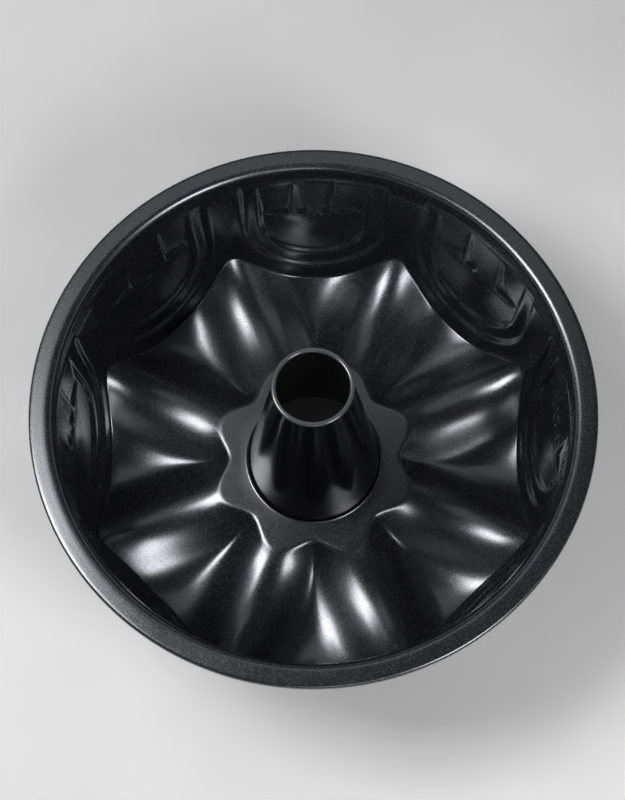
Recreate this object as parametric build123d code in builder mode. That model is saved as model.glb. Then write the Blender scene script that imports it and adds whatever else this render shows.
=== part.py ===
"""A fluted ring-cake pan of pressed steel, with a tapered tube locked into its floor.

Millimetres, +Z up. The origin is under the middle of the pan, on the plane that its troughs rest on.
Eight identical bays stand round the axis, the first on +X. Each has a flat panel in the wall, with an
arched window standing on its head, and a trough in the floor. A ridge in the floor and a pilaster in
the wall part each bay from the next.
"""
from build123d import *
from math import atan, cos, exp, log, pi, radians, sin, sqrt
import os

# ---- driving dimensions -------------------------------------------------------------------------
bays = 8
sheet = 0.8                      # steel thickness

rim_radius = 130.0               # over the rolled edge
rim_height = 97.0                # top of the flange
curl_radius = 2.2                # outside radius of the rolled edge
curl_turn = 280.0                # how far it is rolled, down and back under the flange
wire_gap = 0.1                   # between the rolled edge and the wire inside it

mouth_radius = 118.8             # cavity just under the flange
mouth_bend = 3.0                 # cavity-side radius between wall and flange
shoulder_height = 85.5           # where the plain band under the rim ends
shoulder_radius = 116.8
foot_radius = 114.1              # the round wall carried down to the resting plane
shoulder_flat = 113.8            # a flat panel's distance from the axis, at the shoulder
trough_end_flat = 103.1          # and where it meets the trough
trough_end_height = 3.5

arch_spring_height = 50.7        # where the straight jambs become a half circle
arch_radii = (37.2, 28.5)        # outer and inner moulding of one window
moulding_step = 2.4              # each moulding sets the flat panel further out
light_widths = (14.4, 18.0, 14.4)
light_height = 28.0
light_base_height = 54.5
light_corner = 2.4
light_depth = 1.0
mullion = 2.6
round_share = 0.6                # how far the round wall follows the panel out
mouth_clear = 0.4                # a window never reaches further out than this inside the mouth
tympanum_height = 39.5           # centre of the shallow dish under the lights
tympanum_radius = 12.0
tympanum_depth = 1.0

hub_height = 13.6                # flat ring round the tube
hub_notch_radius = 43.4          # scalloped edge of the ring, at a trough
hub_lobe_radius = 51.3           # and at a ridge
hub_edge_softness = 0.6
trough_drop = 14.0               # trough below the ring
trough_drop_length = 14.0
trough_rise = 3.5                # the trough climbs again towards the wall
trough_rise_start = 26.0
trough_rise_length = 34.6
trough_roundness = 0.03          # as a share of half a bay, at the ring
trough_end_roundness = 1.4       # and at the wall, where the trough is as round as the arch
ridge_dip = 7.2                  # the ridge sags between the ring and the wall
ridge_dip_length = 25.0
ridge_rise = 9.8
ridge_length = 63.6
ridge_roundness = 3.0            # at the ring
ridge_end_roundness = 0.45       # and at the wall
flank_sag = 0.09                 # a flank hangs below the line from trough to ridge by this share

tube_top_height = 118.8
tube_top_radius = 18.0           # outside, under the lip
tube_seat_radius = 33.2          # outside, at the hub ring
lip_radius = 1.1
seam_gap = 0.5                   # between tube and hub ring
hem_gap = 0.02                   # between hem and hub ring
hem_radius = 39.0                # outer edge of the hem under the hub ring
hem_bend = 0.4                   # inside radius of the bend into the hem

# ---- derived dimensions -------------------------------------------------------------------------
half_bay = 180.0 / bays
panel_slope = (shoulder_flat - trough_end_flat) / (shoulder_height - trough_end_height)
curl_centre = (rim_radius - curl_radius, rim_height - curl_radius)
seat_height = hub_height - sheet - hem_gap
reach = 2 * rim_radius           # long enough to pass through everything


# ---- the floor's shape --------------------------------------------------------------------------
def rounded_vee(share, roundness):
    """0 at share 0 and 1 at share 1, straight but for a round bottom."""
    full = sqrt(1 + roundness**2) - roundness
    return (sqrt(share**2 + roundness**2) - roundness) / full


def flank(share, run):
    """How far the floor has climbed from trough (0) to ridge (1), at a share of half a bay."""
    outward = min(run / ridge_length, 1.0)
    trough_round = trough_roundness + (trough_end_roundness - trough_roundness) * outward**2
    ridge_round = ridge_roundness + (ridge_end_roundness - ridge_roundness) * outward
    climbed = 1 - rounded_vee(1 - rounded_vee(share, trough_round), ridge_round)
    return climbed - flank_sag * sin(pi * share) ** 2


def hub_edge(share):
    """Radius of the hub ring's scalloped edge."""
    return hub_notch_radius + (hub_lobe_radius - hub_notch_radius) * (1 - cos(pi * share)) / 2


def floor_height(radius, share):
    """Height of the cavity's floor."""
    run = hub_edge_softness * log(1 + exp((radius - hub_edge(share)) / hub_edge_softness))
    outward = run / ridge_length
    climb = max(0.0, run - trough_rise_start) / trough_rise_length
    trough = trough_rise * climb**3 - trough_drop * (1 - exp(-run / trough_drop_length))
    ridge = ridge_rise * outward**4 - ridge_dip * (1 - exp(-run / ridge_dip_length)) * (1 - outward)
    return hub_height + trough + (ridge - trough) * flank(share, run)


def floor_wedge(skin):
    """Everything above the floor, lowered by skin, over half a bay."""
    station_count = 7
    ring_stops = [30.0, 33.0, 36.0, 39.0]
    edge_offsets = (-3.0, -2.0, -1.0, 0.0, 1.0, 2.0, 4.0, 8.0, 14.0, 21.0, 29.0, 38.0, 48.0, 58.0)
    outer_radius = 122.0
    with BuildPart() as wedge:
        for station in range(station_count):
            share = station / (station_count - 1)
            angle = radians(half_bay * share)
            outward = (cos(angle), sin(angle), 0)
            across = Plane((0, 0, 0), x_dir=outward, z_dir=(sin(angle), -cos(angle), 0))
            stops = ring_stops + [hub_edge(share) + offset for offset in edge_offsets] + [outer_radius]
            with BuildSketch(across):
                with BuildLine():
                    bottom = Spline([(radius, floor_height(radius, share) - skin) for radius in stops])
                    Polyline(bottom @ 1, (outer_radius, reach), (ring_stops[0], reach), bottom @ 0)
                make_face()
        loft()
    return wedge.part


def floor_ring(skin):
    """Everything above the whole floor, lowered by skin."""
    wedge = floor_wedge(skin)
    with BuildPart() as bay:
        add(wedge)
        mirror(about=Plane.XZ)
    with BuildPart() as ring:
        with PolarLocations(0, bays):
            add(bay.part)
        with BuildSketch(Plane.XY.offset(hub_height - skin)):
            Circle(tube_seat_radius)
        extrude(amount=reach)
    return ring.part


# ---- the wall's shape ---------------------------------------------------------------------------
def round_wall(skin):
    """The wall's turned shape, grown outward by skin, with the bend up to the flange."""
    bend_centre = (mouth_radius + mouth_bend, rim_height - mouth_bend)
    bend_top = rim_height - skin
    with BuildPart() as wall:
        with BuildSketch(Plane.XZ):
            with BuildLine():
                Polyline(
                    (bend_centre[0], bend_top),
                    (bend_centre[0], reach),
                    (0, reach),
                    (0, -rim_height),
                    (foot_radius + skin, -rim_height),
                    (foot_radius + skin, 0),
                    (shoulder_radius + skin, shoulder_height),
                    (mouth_radius + skin, bend_centre[1]),
                )
                CenterArc(bend_centre, mouth_bend - skin, 180, -90)
            make_face()
        revolve(axis=Axis.Z)
    return wall.part


def window_limit(skin, depth):
    """How far out a recess of that depth may reach: the turned wall grown outward, inside the mouth."""
    growth = skin + depth * round_share
    with BuildPart() as limit:
        with BuildSketch(Plane.XZ):
            with BuildLine():
                Polyline(
                    (0, shoulder_height),
                    (0, -rim_height),
                    (foot_radius + growth, -rim_height),
                    (foot_radius + growth, 0),
                    (shoulder_radius + growth, shoulder_height),
                    close=True,
                )
            make_face()
        revolve(axis=Axis.Z)
        Cylinder(mouth_radius - mouth_clear + skin, 2 * reach, mode=Mode.INTERSECT)
    return limit.part


def flat_wall(growth, top):
    """The eight flat panels, grown outward, up to the shoulder, and open above it."""
    with BuildPart() as flats:
        for height in (-rim_height, top):
            flat = trough_end_flat + growth + panel_slope * (height - trough_end_height)
            with BuildSketch(Plane.XY.offset(height)):
                RegularPolygon(flat, bays, major_radius=False, rotation=half_bay)
        loft()
        with BuildSketch(Plane.XY.offset(top)):
            Circle(reach)
        extrude(amount=2 * reach)
    return flats.part


def arch_opening(radius):
    """An arch standing on its head, right through the wall of the bay on +X."""
    with BuildPart() as opening:
        with BuildSketch(Plane.YZ.offset(hub_lobe_radius)):
            with BuildLine():
                arch = CenterArc((0, arch_spring_height), radius, 180, 180)
                Polyline(arch @ 1, (radius, shoulder_height), (-radius, shoulder_height), arch @ 0)
            make_face()
        extrude(amount=reach)
    return opening.part


def lights_opening(skin):
    """The window's three lights side by side, right through the same wall."""
    with BuildPart() as opening:
        with BuildSketch(Plane.YZ.offset(hub_lobe_radius)) as panes:
            left = -(sum(light_widths) + mullion * (len(light_widths) - 1)) / 2
            for width in light_widths:
                with Locations((left + width / 2, light_base_height + light_height / 2)):
                    Rectangle(width + 2 * skin, light_height + 2 * skin)
                left += width + mullion
            fillet(panes.vertices(), light_corner)
        extrude(amount=reach)
    return opening.part


def window_recess(skin):
    """The recesses of one arched window, grown outward by skin."""
    layers = []
    for step, radius in enumerate(arch_radii, start=1):
        layers.append((arch_opening(radius + skin), moulding_step * step))
    layers.append((lights_opening(skin), moulding_step * len(arch_radii) + light_depth))
    recesses = []
    for opening, depth in layers:
        with BuildPart() as recess:
            add(opening)
            add(window_limit(skin, depth), mode=Mode.INTERSECT)
            add(flat_wall(skin + depth, shoulder_height), mode=Mode.INTERSECT)
        recesses.append(recess.part)
    with BuildPart() as window:
        add(recesses)
    return window.part


def hollow(skin):
    """The cavity grown outward by skin: 0 is the cavity itself, and sheet is the pan's outside."""
    lean = atan(panel_slope)
    ball_radius = (tympanum_radius**2 + tympanum_depth**2) / (2 * tympanum_depth)
    plain_panel = trough_end_flat + panel_slope * (tympanum_height - trough_end_height)
    panel = plain_panel + moulding_step * len(arch_radii)
    window = window_recess(skin)
    floor = floor_ring(skin)
    with BuildPart() as form:
        add(round_wall(skin))
        add(flat_wall(skin, shoulder_height - skin), mode=Mode.INTERSECT)
        with PolarLocations(0, bays):
            add(window)
        with Locations((0, 0, tympanum_height + ball_radius * sin(lean))):
            with PolarLocations(panel + tympanum_depth - ball_radius * cos(lean), bays):
                Sphere(ball_radius + skin)
        add(floor, mode=Mode.INTERSECT)
    return form.part


# ---- pan shell ----------------------------------------------------------------------------------
cavity = hollow(0.0)
outside = hollow(sheet)

with BuildPart() as pan_shell:
    add(outside)
    with BuildSketch(Plane.XY.offset(rim_height - sheet)):
        Circle(reach)
    extrude(amount=2 * reach, mode=Mode.SUBTRACT)
    with BuildSketch(Plane.XY.offset(rim_height - sheet)):
        Circle(curl_centre[0])
    extrude(amount=sheet)
    add(cavity, mode=Mode.SUBTRACT)
    with BuildSketch(Plane.XZ):
        with BuildLine():
            outer = CenterArc(curl_centre, curl_radius, 90, -curl_turn)
            inner = CenterArc(curl_centre, curl_radius - sheet, 90, -curl_turn)
            Line(outer @ 0, inner @ 0)
            Line(outer @ 1, inner @ 1)
        make_face()
    revolve(axis=Axis.Z)
    Cylinder(tube_seat_radius + seam_gap, 2 * reach, mode=Mode.SUBTRACT)
    # each trough is pressed flat where it rests
    with BuildSketch(Plane.XY.offset(-reach)):
        Circle(reach)
    extrude(amount=reach, mode=Mode.SUBTRACT)

# ---- centre tube --------------------------------------------------------------------------------
with BuildPart() as centre_tube:
    lip_centre = (tube_top_radius - sheet / 2, tube_top_height - lip_radius)
    bend_outside = (tube_seat_radius, seat_height)
    bend_inside = (tube_seat_radius - sheet, seat_height - sheet)
    with BuildSketch(Plane.XZ) as tube_profile:
        with BuildLine():
            Polyline(
                (tube_top_radius - sheet, lip_centre[1]),
                (tube_top_radius, lip_centre[1]),
                bend_outside,
                (hem_radius, seat_height),
                (hem_radius, seat_height - sheet),
                bend_inside,
                close=True,
            )
        make_face()
        fillet(tube_profile.vertices().sort_by_distance(bend_outside)[0], hem_bend)
        fillet(tube_profile.vertices().sort_by_distance(bend_inside)[0], hem_bend + sheet)
        with Locations(lip_centre):
            Circle(lip_radius)
    revolve(axis=Axis.Z)

# ---- rim wire -----------------------------------------------------------------------------------
with BuildPart() as rim_wire:
    with BuildSketch(Plane.XZ):
        with Locations(curl_centre):
            Circle(curl_radius - sheet - wire_gap)
    revolve(axis=Axis.Z)

# ---- export -------------------------------------------------------------------------------------
os.makedirs("parts", exist_ok=True)
pan_shell.part.label = "pan_shell"
centre_tube.part.label = "centre_tube"
rim_wire.part.label = "rim_wire"
for piece in (pan_shell, centre_tube, rim_wire):
    export_step(piece.part, f"parts/{piece.part.label}.step")
    print(piece.part.label, len(piece.part.solids()), piece.part.is_valid, round(piece.part.volume, 1))
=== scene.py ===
from math import cos, pi, radians, sin

import bmesh
import bpy
import numpy as np
from mathutils import Matrix, Vector


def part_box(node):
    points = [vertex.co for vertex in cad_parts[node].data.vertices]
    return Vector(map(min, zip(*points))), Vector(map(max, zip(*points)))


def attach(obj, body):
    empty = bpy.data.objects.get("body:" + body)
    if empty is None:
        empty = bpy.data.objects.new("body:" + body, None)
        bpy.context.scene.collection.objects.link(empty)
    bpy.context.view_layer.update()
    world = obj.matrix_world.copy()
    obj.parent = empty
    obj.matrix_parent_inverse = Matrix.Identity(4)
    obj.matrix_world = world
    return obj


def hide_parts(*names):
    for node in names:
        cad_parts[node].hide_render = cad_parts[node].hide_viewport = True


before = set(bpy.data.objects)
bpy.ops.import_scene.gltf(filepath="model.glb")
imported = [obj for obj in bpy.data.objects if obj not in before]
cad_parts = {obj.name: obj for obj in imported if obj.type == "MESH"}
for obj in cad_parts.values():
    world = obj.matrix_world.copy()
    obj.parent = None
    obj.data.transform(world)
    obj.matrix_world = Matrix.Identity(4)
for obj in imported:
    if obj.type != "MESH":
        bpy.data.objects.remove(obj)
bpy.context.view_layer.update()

# The pan's shapes are worked out in millimetres, with the first bay on +X, and become metres in add_mesh().
# Half a bay is worked out, from the trough's middle at angle 0 to the ridge's at half_bay, then mirrored.
MM = 0.001

# ---- what the frame gives -----------------------------------------------------------------------
rim_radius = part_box("pan_shell")[1].x / MM
rim_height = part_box("pan_shell")[1].z / MM
tube_top_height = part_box("centre_tube")[1].z / MM
hem_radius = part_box("centre_tube")[1].x / MM

# ---- driving dimensions -------------------------------------------------------------------------
bays = 8
sheet = 0.8
half_bay = pi / bays

curl_radius = 2.2
curl_turn = radians(280)
curl_squareness = 0.6            # 1 would be a round edge, 0 a square one
curl_centre = (rim_radius - curl_radius, rim_height - curl_radius)
flange_rows = (0.35, 0.7)        # shares of the flange's width where it has a row of points
mouth_radius = 118.8             # the cavity's, where the wall meets the bend under the flange
mouth_bend = 4.0                 # that bend's radius on the cavity's side
shoulder_height = 85.5           # where the flat panels start to step out
shoulder_radius = 116.8          # the round wall's, at the shoulder
foot_radius = 115.0              # the round wall's, carried down to the resting plane
shoulder_flat = 113.8            # a flat panel's distance from the axis, at the shoulder
trough_end_flat = 104.1          # and at trough_end_height
trough_end_height = 3.5          # about where the panel meets the trough
panel_slope = (shoulder_flat - trough_end_flat) / (shoulder_height - trough_end_height)
shoulder_rise = 2.6              # height over which a panel steps out to the plain band
shoulder_step = 12.0             # far enough out for the round wall to take over
band_height = 92.5               # the wall is fully round from here up

spring_height = 50.7             # where the window's straight jambs become a half circle
arch_radii = (37.2, 28.5)        # outer edges of the two mouldings' risers
moulding_step = 2.4              # each moulding sets the panel further out
moulding_width = 3.0             # run of one moulding's riser along the panel
round_share = 0.6                # how far the round wall follows the panel out
mouth_clear = 0.4                # a recess stops at least this far inside the mouth
mouth_softness = moulding_step / 4
window_top = 82.5                # where the window's recess starts to fade out upwards
window_fade = 10.0
light_base = 54.5                # lower end of the window's three lights
light_centre_half = 9.0          # half the middle light's width
mullion = 2.6                    # width of the bar between two lights
light_reach = 26.0               # outer edge of the side lights
light_step = 1.3                 # how much further out a light is set
light_riser = 2.6                # run of its riser along the panel
light_corner = 2.4
light_base_rise = 6.0            # height over which a light sinks in from its lower end
light_dish = 0.7                 # how much further a light sinks towards its middle
light_roll = 5.0                 # and how far in from its edge it has done so
light_top = 2 * rim_height       # past the rim, so that a light has no upper end
tab_half = 3.6                   # half the width of the little drop under the middle light
tab_base = 51.5                  # and its lower end
tympanum_top = 56.0              # upper end of the dished half moon under the lights
tympanum_dish = 1.7
tympanum_roll = 11.0

hub_height = 13.6                # flat ring round the tube
hub_notch_radius = 43.4          # scalloped edge of the ring, at a trough
hub_lobe_radius = 51.3           # and at a ridge
hub_edge_softness = 0.45
trough_drop = 14.0               # a trough falls this far below the ring
trough_drop_length = 14.0
trough_rise = 3.5                # the trough climbs again towards the wall
trough_rise_start = 26.0
trough_rise_length = 34.6
trough_roundness = 0.03          # as a share of half a bay, at the ring
trough_end_roundness = 1.4       # and at the wall
ridge_dip = 7.2                  # the ridge sags between the ring and the wall
ridge_dip_length = 25.0
ridge_rise = 9.8                 # how far above the ring a ridge ends at the wall
ridge_length = 63.6              # from the ring to the wall
ridge_roundness = 3.0            # measured as the trough's is, at the ring
ridge_end_roundness = 0.3        # and at the wall
flank_sag = 0.09                 # a flank hangs below the line from trough to ridge by this share
foot_fillet = 1.1                # how far the wall's foot bend reaches up the wall and along the floor
corner_softness = 2.0            # between panel and panel, and panel and round wall

tube_top_radius = 18.0           # outside, under the lip
tube_seat_radius = 33.2          # outside, at the hem
lip_radius = 1.1
lip_squareness = 0.75            # 1 would be a round lip, 0 a square one
lip_start, lip_end = radians(-60), radians(240)      # from its outer lower side over the top
cone_start = 0.03                # shares of the cone's length, down from the lip
cone_inside_end = 0.98
cone_outside_end = 0.995
seam_gap = 0.5                   # between tube and hub ring
seam_rise = 0.45                 # the hub's hole is turned up a little towards the tube
seam_rise_run = 1.1              # over this width
hem_gap = 0.02                   # between hem and hub ring
hem_bend = 0.25                  # how far outside the cone the hem's flat top starts
seat_height = hub_height - sheet - hem_gap

# ---- how finely the meshes are divided ----------------------------------------------------------
foot_columns = 20                # columns of cells between trough and ridge
foot_samples = 400               # angles at which the wall's foot is looked up
side_rays = 7                    # cells up the bay's edge, from the ridge to the spring line
border_steps = 4                 # cells between the outer moulding and the edge of the bay
bend_rows, floor_rows, hub_rows, seam_rows = 5, 26, 3, 5       # rows of points, from the wall inwards
hub_margin = 2.4                 # the floor's rows end this far inside the hub's edge
floor_spacing = 1.7              # power by which they crowd towards it
evenness = 0.55                  # 1 would space the foot's columns evenly, 0 crowd them at both ends
mouth_bend_steps, curl_steps, lip_steps, cone_steps = 8, 25, 36, 24
turned_columns = 192             # round the tube
weld_distance = 2e-6             # metres
crease_angle = radians(55)       # faces that meet more sharply than this are shaded as an edge
solver_rounds = 12               # the wall's points are found by repeated substitution
foot_rounds = 20                 # and so are its foot's

# ---- colours and textures (sizes of textures are repeats to the metre) --------------------------
shell_dark, shell_light = (0.003, 0.003, 0.0038, 1), (0.014, 0.014, 0.018, 1)
tube_dark, tube_light = (0.0012, 0.0012, 0.0014, 1), (0.004, 0.004, 0.005, 1)
# painted sheen: the lip's paler colour, and the height it starts at, stand in for the brighter highlights
# along the tube's rim
lip_painted_sheen = (0.03, 0.03, 0.033, 1)
lip_sheen_start = tube_top_height - 2.2 * lip_radius
coating_ior = 1.6
grain_scale, fleck_scale, cloud_scale = 2400.0, 2100.0, 28.0
fleck_start, fleck_full = 0.5, 0.95
fleck_roughness = 0.07           # how much rougher a fleck is than the coating round it
cloudiness = 0.03                # how far the roughness drifts either way
bump_depth = 0.00004             # metres
noise_low, noise_high = 0.3, 0.7     # nearly all of a noise texture lies between these
wire_colour = (0.45, 0.45, 0.46, 1.0)
wire_roughness = (0.28, 0.42)
wire_scale = 900.0
table_dark, table_light = (0.40, 0.388, 0.372, 1), (0.47, 0.457, 0.440, 1)
table_roughness = 0.85
table_scale = 14.0

# ---- camera, lights and room, in metres ---------------------------------------------------------
camera_place = Vector((0.00483, -0.24225, 0.7851))
camera_target = Vector((-0.0003, 0.00186, 0.0953))
camera_roll = radians(-1.15)
camera_lens, camera_sensor = 92.16, 36.0             # millimetres
floor_half = 12.0
lamp_colour = (0.93, 0.95, 1.0)
room_low, room_high = (0.9, 0.91, 0.925, 1), (0.09, 0.093, 0.1, 1)
room_fade = (0.1, 0.45)          # steepness of view, as a sine, at which the one becomes the other


# ---- helpers ------------------------------------------------------------------------------------
def ease(share):
    """0 up to share 0, 1 from share 1, and smooth between."""
    share = np.clip(share, 0.0, 1.0)
    return share * share * (3 - 2 * share)


def within(distance, width):
    """1 where a signed distance is inside (negative), 0 outside, over a riser of that width."""
    return ease(0.5 - distance / width)


def soft_min(a, b, softness):
    """The smaller of two, with the corner between them rounded off."""
    share = np.clip(0.5 + 0.5 * (b - a) / softness, 0.0, 1.0)
    return b + (a - b) * share - softness * share * (1 - share)


def squared(turn, squareness):
    """A point of a round-cornered square of half width 1: a circle at squareness 1."""
    return tuple(np.sign(part) * np.abs(part) ** squareness for part in (cos(turn), sin(turn)))


# ---- the floor ----------------------------------------------------------------------------------
def rounded_vee(share, roundness):
    """0 at share 0 and 1 at share 1, straight but for a round bottom."""
    full = np.sqrt(1 + roundness**2) - roundness
    return (np.sqrt(share**2 + roundness**2) - roundness) / full


def flank(share, run):
    """How far the floor has climbed from trough (0) to ridge (1)."""
    outward = np.clip(run / ridge_length, 0.0, 1.0)
    trough_round = trough_roundness + (trough_end_roundness - trough_roundness) * outward**2
    ridge_round = ridge_roundness + (ridge_end_roundness - ridge_roundness) * outward
    climbed = 1 - rounded_vee(1 - rounded_vee(share, trough_round), ridge_round)
    return climbed - flank_sag * np.sin(pi * share) ** 2


def hub_edge(share):
    """Radius of the hub ring's scalloped edge."""
    return hub_notch_radius + (hub_lobe_radius - hub_notch_radius) * (1 - np.cos(pi * share)) / 2


def floor_height(radius, angle):
    """Height of the cavity's floor at a radius, and an angle from the middle of the trough."""
    share = angle / half_bay
    run = hub_edge_softness * np.logaddexp(0.0, (radius - hub_edge(share)) / hub_edge_softness)
    outward = run / ridge_length
    climb = np.maximum(0.0, run - trough_rise_start) / trough_rise_length
    trough = trough_rise * climb**3 - trough_drop * (1 - np.exp(-run / trough_drop_length))
    ridge = ridge_rise * outward**4 - ridge_dip * (1 - np.exp(-run / ridge_dip_length)) * (1 - outward)
    return hub_height + trough + (ridge - trough) * flank(share, run)


# ---- the wall -----------------------------------------------------------------------------------
def arch_distance(across, height, radius):
    """Signed distance to an arch that stands on its head, open at the top."""
    below = np.hypot(across, np.minimum(height - spring_height, 0.0))
    return below - radius


def box_distance(across, height, centre, half_width, low, high, corner):
    """Signed distance to a rectangle with round corners."""
    beside = np.abs(across - centre) - half_width + corner
    above = np.abs(height - (low + high) / 2) - (high - low) / 2 + corner
    outside = np.hypot(np.maximum(beside, 0.0), np.maximum(above, 0.0))
    return outside + np.minimum(np.maximum(beside, above), 0.0) - corner


def dish(distance, depth, roll):
    """A hollow that sinks smoothly from its edge, and is at its full depth from roll inside it."""
    return depth * (1 - (1 - np.clip(-distance / roll, 0.0, 1.0)) ** 2)


def recess_depth(across, height, skin):
    """How far the window sets the wall out, on the cavity's side or a skin outside it."""
    depth = np.zeros(np.broadcast(across, height).shape)
    for radius in arch_radii:
        inside = arch_distance(across, height, radius + skin - moulding_width / 2)
        depth = depth + moulding_step * within(inside, moulding_width)
    side_near = light_centre_half + mullion
    side_centre = (side_near + light_reach) / 2
    lights = np.zeros_like(depth)
    for centre, half_width, base, rise in (
        (0.0, light_centre_half, light_base, light_base_rise),
        (side_centre, light_reach - side_centre, light_base, light_base_rise),
        (0.0, tab_half, tab_base, light_riser),
    ):
        distance = box_distance(
            across, height, centre, half_width + skin, base - skin, light_top, light_corner
        )
        sunk = light_step * within(distance, light_riser) + dish(distance, light_dish, light_roll)
        lights = np.maximum(lights, sunk * ease((height - base) / rise))
    pane = arch_distance(across, height, arch_radii[1] - moulding_width)
    half_moon = np.maximum(pane, height - tympanum_top)
    return depth + np.maximum(lights, dish(half_moon, tympanum_dish, tympanum_roll))


def wall_radius(angle, height, depth, skin):
    """Distance of the wall from the axis, at an angle from the bay's middle."""
    above = ease((height - shoulder_height + skin) / shoulder_rise)
    flat = trough_end_flat + panel_slope * (height - trough_end_height) + skin + shoulder_step * above
    here = (flat + depth) / np.cos(angle)
    beyond = flat / np.cos(2 * half_bay - angle)
    lean = (shoulder_radius - foot_radius) / shoulder_height
    upper_lean = (mouth_radius - shoulder_radius) / (rim_height - mouth_bend - shoulder_height)
    round_wall = foot_radius + lean * np.minimum(height, shoulder_height)
    round_wall = round_wall + upper_lean * np.maximum(height - shoulder_height, 0.0)
    room = mouth_radius - mouth_clear - round_wall
    recess = np.maximum(soft_min(depth * round_share, room, mouth_softness), 0.0)
    round_wall = round_wall + skin + recess * (1 - ease((height - window_top) / window_fade))
    return soft_min(soft_min(here, beyond, corner_softness), round_wall, corner_softness)


def wall_at_across(across, height, skin):
    """Wall points whose distance from the bay's middle plane is known."""
    depth = recess_depth(across, height, skin)
    x = np.full_like(across, trough_end_flat)
    for _ in range(solver_rounds):
        radius = wall_radius(np.arctan2(across, x), height, depth, skin)
        x = np.sqrt(radius**2 - across**2)
    return np.stack([x, across, height], axis=-1)


def wall_at_angle(angle, height, skin):
    """Wall points whose angle is known."""
    radius = wall_radius(angle, height, 0.0, skin)
    for _ in range(solver_rounds):
        depth = recess_depth(radius * np.sin(angle), height, skin)
        radius = wall_radius(angle, height, depth, skin)
    return np.stack([radius * np.cos(angle), radius * np.sin(angle), height], axis=-1)


def floor_edge(angle, skin):
    """Where the floor's surface would meet the wall's without a bend between them."""
    height = np.full_like(angle, trough_end_height)
    for _ in range(foot_rounds):
        radius = wall_radius(angle, height, 0.0, skin)
        height = floor_height(radius, angle) - skin
    return np.stack([radius * np.cos(angle), radius * np.sin(angle), height], axis=-1)


# ---- one half bay as blocks of points -----------------------------------------------------------
def between_stops(stops):
    """Values from stop to stop: each stop is a value and how many cells follow it."""
    lines = []
    for (start, count), (end, _) in zip(stops, stops[1:]):
        lines.append(np.linspace(start, end, count, endpoint=False))
    lines.append([stops[-1][0]])
    return np.concatenate(lines)


def ring_radii(skin):
    """Distances from the bay's middle line at which the window's details need a line of points."""
    riser = light_riser / 2
    side_near = light_centre_half + mullion
    stops = (
        (0.0, 2),
        (tab_half - riser + skin, 3),
        (tab_half + riser + skin, 2),
        (light_centre_half - riser + skin, 4),
        (light_centre_half + mullion / 2, 4),
        (side_near + riser - skin, 3),
        (side_near + light_roll, 4),
        (light_reach - 2 * riser + skin, 8),
        (arch_radii[1] + skin, 3),
        (arch_radii[0] - moulding_width + skin, 6),
        (arch_radii[0] + skin, 0),
    )
    return between_stops(stops)


def to_border(rings, border):
    """Rows of distances: the rings, then even steps out to each row's own border."""
    steps = np.arange(1, border_steps + 1) / border_steps
    beyond = rings[-1] + (border[:, None] - rings[-1]) * steps
    return np.concatenate([np.tile(rings, (len(border), 1)), beyond], axis=1)


def upper_block(skin):
    """The wall from the arch's spring line up to the plain band."""
    riser = light_riser / 2
    stops = (
        (spring_height, 2),
        (tab_base + riser - skin, 1),
        (light_base - riser - skin, 4),
        (light_base + riser - skin, 3),
        (light_base + light_roll, 6),
        (window_top, 7),
        (band_height, 0),
    )
    heights = between_stops(stops)
    edge = wall_at_angle(np.full_like(heights, half_bay), heights, skin)[:, 1]
    across = to_border(ring_radii(skin), edge)
    return wall_at_across(across, np.tile(heights[:, None], (1, across.shape[1])), skin)


def foot_angles(skin, count):
    """Angles round the axis at which rays from the arch's centre leave the panel at its foot."""
    samples = np.linspace(0.0, half_bay, foot_samples)
    foot = floor_edge(samples, skin)
    ray = np.arctan2(spring_height - foot[:, 2] - foot_fillet, foot[:, 1])
    share = np.linspace(0.0, 1.0, count)
    clustered = evenness * share + (1 - evenness) * (1 - np.cos(pi * share)) / 2
    wanted = pi / 2 + (ray[-1] - pi / 2) * clustered
    return np.interp(-wanted, -ray, samples)


def lower_block(skin):
    """The wall under the spring line, in rays from the arch's centre, from its side to its foot."""
    angles = foot_angles(skin, foot_columns + 1)[::-1]
    foot = floor_edge(angles, skin)
    foot_top = wall_at_angle(angles, foot[:, 2] + foot_fillet, skin)
    side_heights = np.linspace(spring_height, foot_top[0, 2], side_rays, endpoint=False)
    side = wall_at_angle(np.full_like(side_heights, half_bay), side_heights, skin)
    ends = np.concatenate([side, foot_top])
    reach = np.hypot(ends[:, 1], spring_height - ends[:, 2])
    turn = np.arctan2(spring_height - ends[:, 2], ends[:, 1])[:, None]
    distances = to_border(ring_radii(skin), reach)
    return wall_at_across(distances * np.cos(turn), spring_height - distances * np.sin(turn), skin)


def floor_block(skin):
    """The bend at the wall's foot and the floor in to the hub's hole, in rows from ridge to trough."""
    angles = foot_angles(skin, foot_columns + 1)[::-1]
    foot = floor_edge(angles, skin)
    wall_side = wall_at_angle(angles, foot[:, 2] + foot_fillet, skin)
    radius = np.hypot(foot[:, 0], foot[:, 1]) - foot_fillet
    direction = np.stack([np.cos(angles), np.sin(angles)], axis=-1)

    def on_floor(radii):
        """Points of the floor, pressed flat where they would sink below the resting plane."""
        height = np.maximum(floor_height(radii, angles) - skin, 0.0)
        return np.concatenate([direction * radii[:, None], height[:, None]], axis=-1)

    floor_side = on_floor(radius)
    rows = []
    for share in np.linspace(0.0, 1.0, bend_rows, endpoint=False):
        rows.append((1 - share) ** 2 * wall_side + 2 * share * (1 - share) * foot + share**2 * floor_side)
    inner = hub_edge(angles / half_bay) - hub_margin
    for share in np.linspace(1.0, 0.0, floor_rows):
        rows.append(on_floor(inner + (radius - inner) * share**floor_spacing))
    seam = tube_seat_radius + seam_gap
    turned_up = seam + seam_rise_run
    for share in np.linspace(1.0, 0.0, hub_rows)[1:]:
        rows.append(on_floor(turned_up + (inner - turned_up) * share))
    for share in np.linspace(0.0, 1.0, seam_rows)[1:]:
        edge = on_floor(np.full_like(angles, turned_up - seam_rise_run * share))
        edge[:, 2] += seam_rise * share**2
        rows.append(edge)
    return np.array(rows)


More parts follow.
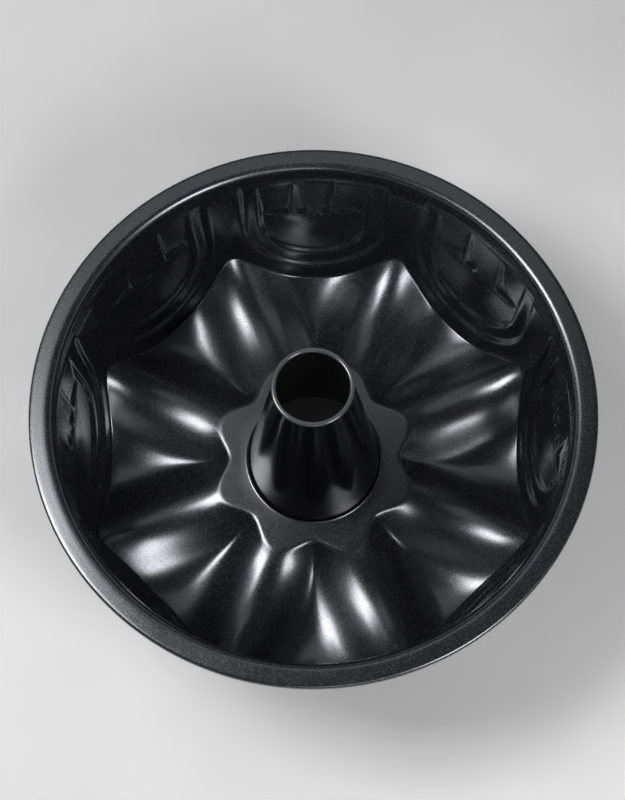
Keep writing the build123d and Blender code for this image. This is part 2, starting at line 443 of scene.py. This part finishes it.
def rim_block(skin, angles):
    """The plain band, the bend, the flange and the rolled edge, turned through the given angles."""
    bend_centre = (mouth_radius + mouth_bend, rim_height - mouth_bend)
    profile = []
    start = wall_radius(half_bay, band_height, 0.0, skin)
    profile.append(((start + mouth_radius + skin) / 2, (band_height + bend_centre[1]) / 2))
    for turn in np.linspace(pi, pi / 2, mouth_bend_steps):
        bend = mouth_bend - skin
        profile.append((bend_centre[0] + bend * cos(turn), bend_centre[1] + bend * sin(turn)))
    for share in flange_rows:
        profile.append((bend_centre[0] + (curl_centre[0] - bend_centre[0]) * share, rim_height - skin))
    for turn in np.linspace(pi / 2, pi / 2 - curl_turn, curl_steps):
        out, up = squared(turn, curl_squareness)
        curl = curl_radius - skin
        profile.append((curl_centre[0] + curl * out, curl_centre[1] + curl * up))
    profile = np.array(profile)
    radius = profile[:, 0][:, None]
    height = np.tile(profile[:, 1][:, None], (1, len(angles)))
    return np.stack([radius * np.cos(angles), radius * np.sin(angles), height], axis=-1)


# ---- meshes -------------------------------------------------------------------------------------
class Patchwork:
    """Points and four-cornered faces, gathered block by block."""

    def __init__(self):
        self.points = []
        self.faces = []

    def add_block(self, block):
        """Rows of points, with a face between every four neighbours."""
        rows, columns = block.shape[:2]
        first = len(self.points)
        self.points.extend(block.reshape(-1, 3).tolist())
        for row in range(rows - 1):
            for column in range(columns - 1):
                corner = first + row * columns + column
                self.faces.append((corner, corner + 1, corner + columns + 1, corner + columns))


def add_mesh(name, points, faces, material):
    """A smooth object in the scene, from millimetres, with points that lie together joined."""
    mesh = bpy.data.meshes.new(name)
    mesh.from_pydata((np.asarray(points) * MM).tolist(), [], faces)
    welded = bmesh.new()
    welded.from_mesh(mesh)
    bmesh.ops.remove_doubles(welded, verts=welded.verts, dist=weld_distance)
    bmesh.ops.recalc_face_normals(welded, faces=welded.faces)
    welded.to_mesh(mesh)
    welded.free()
    mesh.shade_smooth()
    mesh.set_sharp_from_angle(angle=crease_angle)
    mesh.materials.append(material)
    piece = bpy.data.objects.new(name, mesh)
    bpy.context.scene.collection.objects.link(piece)
    return piece


def shell_points():
    """Half a bay of the pressed sheet, inside and outside, closed at the curl's end and the hub's hole."""
    patch = Patchwork()
    ends = []
    for skin in (0.0, sheet):
        upper = upper_block(skin)
        floor = floor_block(skin)
        top_row = upper[-1]
        angles = np.arctan2(top_row[:, 1], top_row[:, 0])
        rim = np.concatenate([top_row[None], rim_block(skin, angles)])
        for block in (upper, lower_block(skin), floor, rim):
            patch.add_block(block)
        ends.append((rim[-1], floor[-1]))
    (inner_curl, inner_hole), (outer_curl, outer_hole) = ends
    patch.add_block(np.array([inner_curl, outer_curl]))
    patch.add_block(np.array([inner_hole, outer_hole]))
    return np.array(patch.points), patch.faces


def make_shell(material):
    """The pan's one sheet of steel: eight bays, each mirrored about its middle."""
    half, half_faces = shell_points()
    points, faces = [], []
    for bay in range(bays):
        turn = 2 * half_bay * bay
        spin = np.array([[cos(turn), sin(turn), 0], [-sin(turn), cos(turn), 0], [0, 0, 1]])
        for side in (1, -1):
            first = len(points)
            points.extend((half * (1, side, 1)) @ spin)
            for face in half_faces:
                corners = face if side > 0 else face[::-1]
                faces.append(tuple(first + corner for corner in corners))
    return add_mesh("pan_body", points, faces, material)


def turned(name, profile, material):
    """A closed profile of radii and heights, turned about the pan's axis."""
    points, faces = [], []
    count = len(profile)
    for column in range(turned_columns):
        turn = 2 * pi * column / turned_columns
        for radius, height in profile:
            points.append((radius * cos(turn), radius * sin(turn), height))
    for column in range(turned_columns):
        here, there = column * count, (column + 1) % turned_columns * count
        for step in range(count):
            following = (step + 1) % count
            faces.append((here + step, there + step, there + following, here + following))
    return add_mesh(name, points, faces, material)


def make_tube(material):
    """The drawn cone, with its rolled lip and the hem that locks it under the hub."""
    cone_drop = tube_top_height - 2 * lip_radius - seat_height
    lip_centre = (tube_top_radius - sheet / 2, tube_top_height - lip_radius)
    profile = []
    for turn in np.linspace(lip_start, lip_end, lip_steps):
        out, up = squared(turn, lip_squareness)
        profile.append((lip_centre[0] + lip_radius * out, lip_centre[1] + lip_radius * up))
    for share in np.linspace(cone_start, cone_inside_end, cone_steps):
        radius = tube_top_radius - sheet + (tube_seat_radius - tube_top_radius) * share
        profile.append((radius, lip_centre[1] - lip_radius - cone_drop * share))
    profile.append((tube_seat_radius, seat_height - sheet))
    profile.append((hem_radius, seat_height - sheet))
    profile.append((hem_radius, seat_height))
    profile.append((tube_seat_radius + hem_bend, seat_height))
    for share in np.linspace(cone_outside_end, cone_start, cone_steps):
        radius = tube_top_radius + (tube_seat_radius - tube_top_radius) * share
        profile.append((radius, lip_centre[1] - lip_radius - cone_drop * share))
    return turned("tube_body", profile, material)


# ---- materials ----------------------------------------------------------------------------------
MIX_SHARE, MIX_FIRST, MIX_SECOND, MIX_RESULT = 0, 6, 7, 2      # a colour Mix node's sockets


def new_material(name):
    """A node material, its tree and its shader."""
    material = bpy.data.materials.new(name)
    material.use_nodes = True
    return material, material.node_tree, material.node_tree.nodes["Principled BSDF"]


def add_node(tree, kind, inputs=(), **settings):
    """A node whose inputs are either plain values or other nodes' outputs."""
    node = tree.nodes.new(kind)
    for name, value in settings.items():
        setattr(node, name, value)
    for name, value in dict(inputs).items():
        if isinstance(value, bpy.types.NodeSocket):
            tree.links.new(value, node.inputs[name])
        else:
            node.inputs[name].default_value = value
    return node


def add_mix(tree, share, first, second):
    """A colour between two, by a share from 0 to 1."""
    sockets = {MIX_SHARE: share, MIX_FIRST: first, MIX_SECOND: second}
    return add_node(tree, "ShaderNodeMix", sockets, data_type="RGBA").outputs[MIX_RESULT]


def coating(name, dark, light, roughness, speckle):
    """Non-stick coating: graphite black, with a fine sparkle and faint cloudiness."""
    material, tree, shader = new_material(name)
    place = add_node(tree, "ShaderNodeTexCoord").outputs["Object"]
    grain = add_node(tree, "ShaderNodeTexNoise", {"Vector": place, "Scale": grain_scale, "Detail": 3.0})
    flecks = add_node(tree, "ShaderNodeTexVoronoi", {"Vector": place, "Scale": fleck_scale})
    clouds = add_node(tree, "ShaderNodeTexNoise", {"Vector": place, "Scale": cloud_scale, "Detail": 4.0})
    fleck_share = add_node(tree, "ShaderNodeMapRange", {
        "Value": flecks.outputs["Color"], "From Min": fleck_start, "From Max": fleck_full})
    colour = add_mix(tree, fleck_share.outputs[0], dark, light)
    tree.links.new(colour, shader.inputs["Base Color"])
    rough = add_node(tree, "ShaderNodeMapRange", {
        "Value": clouds.outputs["Fac"], "From Min": noise_low, "From Max": noise_high,
        "To Min": roughness - cloudiness, "To Max": roughness + cloudiness})
    flaked = add_node(
        tree, "ShaderNodeMath",
        {0: fleck_share.outputs[0], 1: fleck_roughness, 2: rough.outputs[0]},
        operation="MULTIPLY_ADD")
    tree.links.new(flaked.outputs[0], shader.inputs["Roughness"])
    bump = add_node(tree, "ShaderNodeBump", {
        "Height": grain.outputs["Fac"], "Strength": speckle, "Distance": bump_depth})
    tree.links.new(bump.outputs["Normal"], shader.inputs["Normal"])
    shader.inputs["Metallic"].default_value = 0.0
    shader.inputs["IOR"].default_value = coating_ior
    return material


def paint_sheen_above(material, height, run, sheen_colour):
    """Painted sheen: a paler base colour from a height up, standing in for the brighter highlights on the
    tube's lip.
    """
    tree = material.node_tree
    shader = tree.nodes["Principled BSDF"]
    coat = shader.inputs["Base Color"].links[0].from_socket
    place = add_node(tree, "ShaderNodeTexCoord").outputs["Object"]
    parts = add_node(tree, "ShaderNodeSeparateXYZ", {"Vector": place})
    share = add_node(tree, "ShaderNodeMapRange", {
        "Value": parts.outputs["Z"], "From Min": height * MM, "From Max": (height + run) * MM})
    tree.links.new(add_mix(tree, share.outputs[0], coat, sheen_colour), shader.inputs["Base Color"])


def wire_steel():
    """Drawn steel wire: metal whose roughness varies in a fine noise."""
    material, tree, shader = new_material("drawn_wire")
    place = add_node(tree, "ShaderNodeTexCoord").outputs["Object"]
    lines = add_node(tree, "ShaderNodeTexNoise", {"Vector": place, "Scale": wire_scale, "Detail": 5.0})
    shade = add_node(tree, "ShaderNodeMapRange", {
        "Value": lines.outputs["Fac"], "From Min": noise_low, "From Max": noise_high,
        "To Min": wire_roughness[0], "To Max": wire_roughness[1]})
    tree.links.new(shade.outputs[0], shader.inputs["Roughness"])
    shader.inputs["Base Color"].default_value = wire_colour
    shader.inputs["Metallic"].default_value = 1.0
    return material


def pale_floor():
    """A matt, faintly mottled table top."""
    material, tree, shader = new_material("pale_floor")
    place = add_node(tree, "ShaderNodeTexCoord").outputs["Object"]
    mottle = add_node(tree, "ShaderNodeTexNoise", {"Vector": place, "Scale": table_scale, "Detail": 8.0})
    shade = add_mix(tree, mottle.outputs["Fac"], table_dark, table_light)
    tree.links.new(shade, shader.inputs["Base Color"])
    shader.inputs["Roughness"].default_value = table_roughness
    return material


# ---- pieces -------------------------------------------------------------------------------------
shell_coating = coating("shell_coating", shell_dark, shell_light, roughness=0.22, speckle=0.13)
tube_coating = coating("tube_coating", tube_dark, tube_light, roughness=0.13, speckle=0.03)
# painted sheen on the tube's lip, in place of its brighter highlights
paint_sheen_above(tube_coating, height=lip_sheen_start, run=lip_radius, sheen_colour=lip_painted_sheen)

shell = make_shell(shell_coating)
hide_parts("pan_shell")
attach(shell, "root")

tube = make_tube(tube_coating)
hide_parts("centre_tube")
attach(tube, "root")

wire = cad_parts["rim_wire"]
wire.data.materials.clear()
wire.data.materials.append(wire_steel())

# ---- stage --------------------------------------------------------------------------------------
def add_floor(material):
    """A flat square under the pan."""
    mesh = bpy.data.meshes.new("floor")
    signs = ((-1, -1), (1, -1), (1, 1), (-1, 1))
    corners = [(x_sign * floor_half, y_sign * floor_half, 0) for x_sign, y_sign in signs]
    mesh.from_pydata(corners, [], [(0, 1, 2, 3)])
    mesh.materials.append(material)
    floor = bpy.data.objects.new("floor", mesh)
    bpy.context.scene.collection.objects.link(floor)


def add_softbox(name, azimuth, elevation, distance, size, power):
    """An area light that faces the pan, at a compass angle from +X and a height angle."""
    lamp = bpy.data.lights.new(name, "AREA")
    lamp.shape = "RECTANGLE"
    lamp.size, lamp.size_y = size
    lamp.energy = power
    lamp.color = lamp_colour
    level = cos(radians(elevation))
    place = Vector((level * cos(radians(azimuth)), level * sin(radians(azimuth)), sin(radians(elevation))))
    light = bpy.data.objects.new(name, lamp)
    light.location = place * distance
    light.rotation_euler = place.to_track_quat("Z", "Y").to_euler()
    bpy.context.scene.collection.objects.link(light)


def add_camera():
    """The camera looks steeply down from the front, turned a little about its own line of sight."""
    camera = bpy.data.objects.new("camera", bpy.data.cameras.new("camera"))
    camera.data.lens = camera_lens
    camera.data.sensor_width = camera_sensor
    camera.data.sensor_fit = "HORIZONTAL"
    aim = (camera_target - camera_place).to_track_quat("-Z", "Y").to_matrix().to_4x4()
    camera.matrix_world = Matrix.Translation(camera_place) @ aim @ Matrix.Rotation(camera_roll, 4, "Z")
    bpy.context.scene.collection.objects.link(camera)
    bpy.context.scene.camera = camera


def add_world():
    """A room that is pale at and under the horizon, and dim overhead."""
    world = bpy.data.worlds.new("studio")
    world.use_nodes = True
    tree = world.node_tree
    direction = add_node(tree, "ShaderNodeTexCoord").outputs["Generated"]
    parts = add_node(tree, "ShaderNodeSeparateXYZ", {"Vector": direction})
    share = add_node(tree, "ShaderNodeMapRange", {
        "Value": parts.outputs["Z"], "From Min": room_fade[0], "From Max": room_fade[1]})
    colour = add_mix(tree, share.outputs[0], room_low, room_high)
    tree.links.new(colour, tree.nodes["Background"].inputs["Color"])
    bpy.context.scene.world = world


add_floor(pale_floor())
add_camera()
add_world()
add_softbox("left", azimuth=178, elevation=60, distance=0.9, size=(0.28, 0.36), power=8.0)
add_softbox("right_front", azimuth=-48, elevation=46, distance=0.9, size=(0.26, 0.36), power=6.5)
add_softbox("back_left", azimuth=150, elevation=68, distance=0.9, size=(0.20, 0.20), power=1.1)
add_softbox("front", azimuth=-84, elevation=40, distance=0.9, size=(0.2, 0.16), power=0.8)
add_softbox("ceiling", azimuth=108, elevation=62, distance=1.5, size=(1.2, 0.6), power=2.0)
bpy.context.scene.view_settings.view_transform = "Standard"
